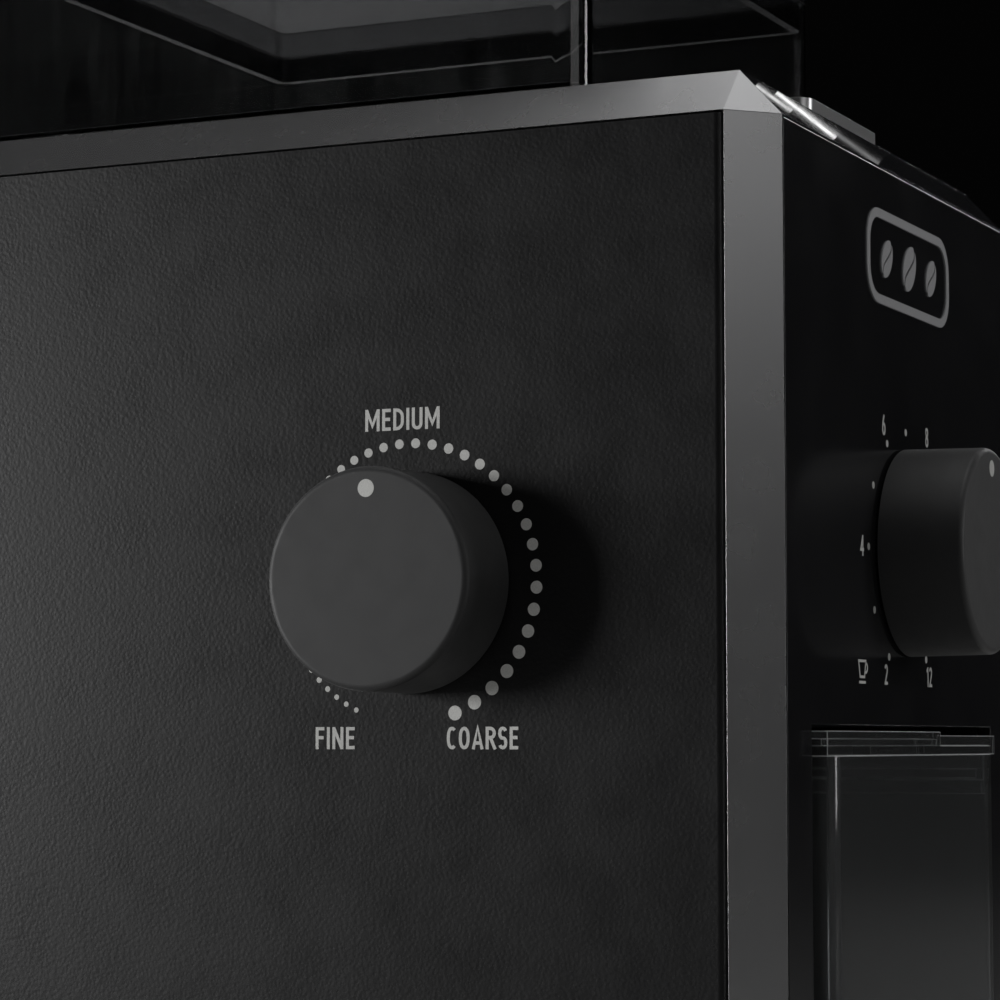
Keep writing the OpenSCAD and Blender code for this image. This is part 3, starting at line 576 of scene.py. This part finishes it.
def add_print(name, mesh_maker, body, material, place):
    """Makes a printed piece from a function that fills a bmesh, and lets it ride on a body."""
    mesh = bpy.data.meshes.new(name)
    shape = bmesh.new()
    mesh_maker(shape)
    bmesh.ops.recalc_face_normals(shape, faces=shape.faces)
    shape.transform(place)
    shape.to_mesh(mesh)
    shape.free()
    mesh.materials.append(material)
    piece = bpy.data.objects.new(name, mesh)
    bpy.context.scene.collection.objects.link(piece)
    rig.ride(piece, body)
    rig.slot(piece, "print_ink")


def face_place(origin, right, outward):
    """A drawing plane: x runs along right, y up, and z out of the surface."""
    right, outward = Vector(right), Vector(outward)
    upward = outward.cross(right)
    turn = Matrix((right, upward, outward)).transposed().to_4x4()
    return Matrix.Translation(origin) @ turn


def slab(shape, outline, thickness, base=0.0):
    """A flat closed plate from an outline in the drawing plane."""
    bottom = [shape.verts.new((x, y, base)) for x, y in outline]
    top = [shape.verts.new((x, y, base + thickness)) for x, y in outline]
    shape.faces.new(reversed(bottom))
    shape.faces.new(top)
    count = len(outline)
    for i in range(count):
        j = (i + 1) % count
        shape.faces.new((bottom[i], bottom[j], top[j], top[i]))


def disc(shape, x, y, radius, thickness):
    """A round plate with 28 sides."""
    turns = [i * math.tau / 28 for i in range(28)]
    slab(shape, [(x + radius * math.cos(a), y + radius * math.sin(a)) for a in turns], thickness)


def ribbon(shape, points, width, thickness, closed=False):
    """A line of even width through points, as one closed solid with mitred corners."""
    points = [Vector(p) for p in points]
    count = len(points)
    sides = []
    for i, point in enumerate(points):
        before = points[i - 1] if i or closed else point
        after = points[(i + 1) % count] if i < count - 1 or closed else point
        into = (point - before).normalized() if point != before else (after - point).normalized()
        out = (after - point).normalized() if point != after else into
        normal = Vector((-into.y - out.y, into.x + out.x)).normalized()
        mitre = min(width / 2 / max(normal.dot(Vector((-into.y, into.x))), 0.4), width)
        sides.append((point + normal * mitre, point - normal * mitre))
    rings = []
    for left, right in sides:
        corners = [(left, 0), (right, 0), (right, thickness), (left, thickness)]
        rings.append([shape.verts.new((p.x, p.y, z)) for p, z in corners])
    pairs = zip(rings, rings[1:] + rings[:1]) if closed else zip(rings, rings[1:])
    for ring, following in pairs:
        for k in range(4):
            n = (k + 1) % 4
            shape.faces.new((ring[k], ring[n], following[n], following[k]))
    if not closed:
        shape.faces.new(rings[0])
        shape.faces.new(rings[-1])


def oval(cx, cy, rx, ry, start=0, end=360, steps=20, power=2.3):
    """Points along a slightly squared oval, by angle in degrees."""
    points = []
    for i in range(steps + 1):
        a = math.radians(start + (end - start) * i / steps)
        c, s = math.cos(a), math.sin(a)
        x = math.copysign(abs(c) ** (2 / power), c)
        y = math.copysign(abs(s) ** (2 / power), s)
        points.append((cx + rx * x, cy + ry * y))
    return points


STROKE = 0.15
EDGE = STROKE / 2
TOP = 1 - EDGE
LETTER_WIDTHS = {
    "A": 0.58, "C": 0.5, "D": 0.54, "E": 0.44, "F": 0.44, "I": STROKE, "M": 0.74, "N": 0.56, "O": 0.56,
    "R": 0.52, "S": 0.46, "U": 0.54, "0": 0.5, "1": 0.3, "2": 0.48, "4": 0.52, "6": 0.5, "8": 0.5,
}


def line(*points):
    """An open stroke of a letter."""
    return points, False


def loop(*points):
    """A closed stroke of a letter."""
    return points, True


def round_loop(cx, cy, rx, ry):
    """A closed round stroke."""
    return loop(*oval(cx, cy, rx, ry)[:-1])


def d_stroke(w):
    """The one stroke of a D, with a straight back."""
    bend_r = 0.3
    start_x = w - EDGE - bend_r
    start_y = TOP - bend_r
    angles = (0, 0.4, 0.8, 1.2, 1.57)
    bend = [(start_x + bend_r * math.sin(a), start_y + bend_r * math.cos(a)) for a in angles]
    mirrored = [(x, 1 - y) for x, y in reversed(bend)]
    return loop((EDGE, TOP), *bend, *mirrored, (EDGE, EDGE))


def r_bowl(w):
    """The bowl of an R."""
    bowl_r = 0.2
    start_x = w - EDGE - bowl_r
    centre_y = 0.72
    angles = [math.pi * i / 8 for i in range(9)]
    bowl = [(start_x + bowl_r * math.sin(a), centre_y + (TOP - centre_y) * math.cos(a)) for a in angles]
    return line((EDGE, TOP), *bowl, (EDGE, 2 * centre_y - TOP))


def s_stroke(w):
    """The one stroke of an S: two opposite hooks that meet half way up."""
    rx = w / 2 - EDGE
    ry = (TOP - 0.5) / 2
    upper = oval(w / 2, 0.5 + ry, rx, ry, 25, 270, 12)
    lower = oval(w / 2, 0.5 - ry, rx, ry, 90, -155, 12)
    return line(*upper, *lower[1:])


def glyph(letter):
    """Strokes of a narrow letter or number, one unit high. A stroke is (points, closed)."""
    w = LETTER_WIDTHS[letter]
    mid = w / 2
    right = w - EDGE
    rx = mid - EDGE
    stem = line((EDGE, 0), (EDGE, 1))
    right_stem = line((right, 0), (right, 1))
    top_bar = line((EDGE, TOP), (w, TOP))
    middle_bar = line((EDGE, 0.52), (w * 0.92, 0.52))
    foot_bar = line((EDGE, EDGE), (w, EDGE))
    strokes = {
        "A": [line((0.06, 0), (mid, 0.97), (w - 0.06, 0)), line((0.13, 0.28), (w - 0.13, 0.28))],
        "C": [line(*oval(mid + 0.02, 0.5, rx + 0.02, 0.5 - EDGE, 52, 308))],
        "D": [d_stroke(w)],
        "E": [stem, top_bar, middle_bar, foot_bar],
        "F": [stem, top_bar, middle_bar],
        "I": [stem],
        "M": [stem, right_stem, line((EDGE, 0.97), (mid, 0.25), (right, 0.97))],
        "N": [stem, right_stem, line((EDGE, 0.97), (right, 0.03))],
        "O": [round_loop(mid, 0.5, rx, 0.5 - EDGE)],
        "R": [stem, r_bowl(w), line((mid, 0.48), (w - 0.03, 0))],
        "S": [s_stroke(w)],
        "U": [line((EDGE, 1), *oval(mid, 0.3, rx, 0.3 - EDGE, 180, 360, 12), (right, 1))],
        "0": [round_loop(mid, 0.5, rx, 0.5 - EDGE)],
        "1": [right_stem, line((right, 0.95), (0.02, 0.76))],
        "2": [line(*oval(mid, 0.72, rx, TOP - 0.72, 165, -35, 12), (EDGE + 0.01, EDGE), (w, EDGE))],
        "4": [line((w * 0.7, 0), (w * 0.7, 1)), line((w * 0.7, 0.95), (EDGE, 0.3), (w, 0.3))],
        "6": [round_loop(mid, 0.32, rx, 0.32 - EDGE),
              line((EDGE, 0.34), (EDGE + 0.04, 0.62), (w * 0.62, 1))],
        "8": [round_loop(mid, 0.28, rx, 0.28 - EDGE), round_loop(mid, 0.75, rx - 0.02, 0.25 - EDGE)],
    }
    return strokes[letter]


INK_T = 0.03 * MM
BADGE_T = 0.2 * MM
LETTER_GAP = 0.13


def write(shape, word, cx, cy, cap, width=None):
    """Draws a word centred on (cx, cy), its capitals cap high, stretched to a width where one is given.

    Each stroke of a letter is a little thicker than the one before, so that no two faces coincide."""
    widths = [LETTER_WIDTHS[letter] for letter in word]
    natural = sum(widths) + LETTER_GAP * (len(word) - 1)
    across = width / natural if width else cap
    x = cx - natural * across / 2
    for letter, letter_width in zip(word, widths):
        for layer, (points, closed) in enumerate(glyph(letter)):
            placed = [(x + px * across, cy + (py - 0.5) * cap) for px, py in points]
            ribbon(shape, placed, STROKE * cap, INK_T * (1 + 0.15 * layer), closed)
        x += (letter_width + LETTER_GAP) * across


# ------------------------------------------------------------------ the printed scales

SIDE_FACE = face_place(Vector((left_x, grind_axis.y, grind_axis.z)), (0, -1, 0), (-1, 0, 0))
FRONT_FACE = face_place(Vector((cup_axis.x, front_y, cup_axis.z)), (1, 0, 0), (0, -1, 0))


def grind_scale(shape):
    """A ring of dots that grow from fine to coarse, with the three words around it."""
    ring = 21.4 * MM
    count = 44
    fine, coarse = -155, 158.6
    growth = 1.0149
    smallest, added = 0.4, 0.72
    for i in range(count):
        share = (growth ** i - 1) / (growth ** (count - 1) - 1)
        angle = math.radians(fine + (coarse - fine) * share)
        radius = (smallest + added * share) * MM
        disc(shape, ring * math.sin(angle), ring * math.cos(angle), radius, INK_T)
    capitals = 3.4 * MM
    lower_line = -23.7 * MM
    write(shape, "MEDIUM", -1.25 * MM, 25.2 * MM, capitals, 12.8 * MM)
    write(shape, "FINE", -12.7 * MM, lower_line, capitals, 6.8 * MM)
    write(shape, "COARSE", 12.4 * MM, lower_line, capitals, 11.9 * MM)


def cup_scale(shape):
    """Eleven dots with the even numbers of cups outside them, and a cup symbol."""
    ring = 19.9 * MM
    number_gap = 3.3 * MM
    digits = 3.3 * MM
    for step in range(11):
        angle = math.radians((step - 5) * 30)
        x = ring * math.sin(angle)
        y = ring * math.cos(angle)
        disc(shape, x, y, 0.6 * MM, INK_T)
        cups = step + 2
        if cups % 2 == 0:
            out = 1 + number_gap / ring
            write(shape, str(cups), x * out, y * out, digits)
    cup_symbol(shape, Vector((-23.5 * MM, -19.8 * MM)))


def cup_symbol(shape, cup):
    """A bowl, the saucer under it, and a handle, drawn in thin lines."""
    width = 0.42 * MM
    bowl = [(-1.9, 1.6), (-1.25, -0.9), (0.95, -0.9), (1.6, 1.6)]
    ribbon(shape, [(cup.x + x * MM, cup.y + y * MM) for x, y in bowl], width, INK_T, closed=True)
    saucer_y = cup.y - 1.75 * MM
    ribbon(shape, [(cup.x - 1.7 * MM, saucer_y), (cup.x + 1.5 * MM, saucer_y)], width, INK_T)
    handle = oval(cup.x + 1.5 * MM, cup.y + 0.55 * MM, 0.9 * MM, 0.75 * MM, 95, -95, 10, 2)
    ribbon(shape, handle, width, INK_T)


def pointer(shape):
    """The dot on a knob."""
    disc(shape, 0, 0, 1.35 * MM, INK_T)


def bean_half(side, cx, cy, length):
    """Outline of one half of a coffee bean beside its wavy crease."""
    width = 0.66 * length
    crease_gap = 0.055 * length
    steps = 16
    angles = [math.pi * i / steps for i in range(steps + 1)]
    rim = [(side * width * math.sin(a), length * math.cos(a)) for a in angles]
    crease = []
    for a in reversed(angles):
        wave = 0.16 * length * math.sin(2 * a)
        crease.append((wave + side * crease_gap, 0.93 * length * math.cos(a)))
    lean = Matrix.Rotation(math.radians(-38), 2)
    turned = [lean @ Vector(point) for point in rim[1:-1] + crease]
    return [(cx + point.x, cy + point.y) for point in turned]


def bean_badge(shape):
    """An oblong frame around three coffee beans."""
    half_w, half_h, corner = 21.5 * MM, 7.0 * MM, 5.0 * MM
    frame_line = []
    for cx, cy, start in ((1, 1, 0), (-1, 1, 90), (-1, -1, 180), (1, -1, 270)):
        centre_x, centre_y = cx * (half_w - corner), cy * (half_h - corner)
        frame_line += oval(centre_x, centre_y, corner, corner, start, start + 90, 6, 2)
    ribbon(shape, frame_line, 1.5 * MM, BADGE_T, closed=True)
    outer_x = 12 * MM
    small, large = 3.6 * MM, 4.4 * MM
    for cx, length in ((-outer_x, small), (0, large), (outer_x, small)):
        for side in (-1, 1):
            slab(shape, bean_half(side, cx, 0, length), BADGE_T)


def make_print():
    """The two scales and the badge on the body, and a dot on each knob that turns with it."""
    dot_height = 13.45 * MM
    grind_dot = Matrix.Translation((low("grind_knob").x - left_x, 0, dot_height)) @ SIDE_FACE
    cup_dot = Matrix.Translation((0, low("cup_knob").y - front_y, dot_height)) @ FRONT_FACE
    badge_place = Matrix.Translation((2.5 * MM, 0, 47.4 * MM)) @ FRONT_FACE
    add_print("grind_scale_print", grind_scale, "housing", PRINT_WHITE, SIDE_FACE)
    add_print("cup_scale_print", cup_scale, "housing", PRINT_WHITE, FRONT_FACE)
    add_print("grind_knob_pointer", pointer, "grind_knob", PRINT_WHITE, grind_dot)
    add_print("cup_knob_pointer", pointer, "cup_knob", PRINT_WHITE, cup_dot)
    add_print("bean_badge", bean_badge, "housing", BADGE_GREY, badge_place)


def press_spring(node, joint, travel, fixed_end):
    """The coil shortens by the joint's travel, towards the end that stays put."""
    keep = 1 - travel / (high(node).z - low(node).z)
    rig.squash(nodes[node], joint, UP, fixed_end(node), keep)


def press_springs():
    """The button presses its spring down, and the burr carrier presses its own up."""
    press_spring("button_spring", "start_button_press", 2 * MM, low)
    press_spring("carrier_spring", "upper_burr_lift", 0.5 * MM, high)


# ------------------------------------------------------------------ floor

def make_floor():
    """A pale table whose colour darkens away from the grinder, a pool of light painted round it with painted shade
    beyond.
    """
    mesh = bpy.data.meshes.new("floor")
    reach = 8.0
    corners = [(-reach, -reach, 0), (reach, -reach, 0), (reach, reach, 0), (-reach, reach, 0)]
    mesh.from_pydata(corners, [], [(0, 1, 2, 3)])
    floor = bpy.data.objects.new("floor", mesh)
    bpy.context.scene.collection.objects.link(floor)
    paint = Paint("floor", (0.55, 0.55, 0.54), 0.7)
    distance = paint.node("ShaderNodeVectorMath")
    distance.operation = "LENGTH"
    paint.link(paint.place, distance.inputs[0])
    # Painted shade: the floor colour falls from full to a tenth between 0.3 m and 0.9 m from the origin.
    paint.vary_colour(distance.outputs["Value"], 1.0, 0.1, 0.3, 0.9)
    mesh.materials.append(paint.material)
    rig.stage(floor)


make_camera()
make_lights()
make_world()
make_floor()
paint_cad_nodes()
soften_edges()
make_print()
press_springs()

with open("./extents.json", "w") as sizes:
    json.dump({"cad": [list(p) for p in cad_box], "visual": [list(p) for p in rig.bounds()]}, sizes)
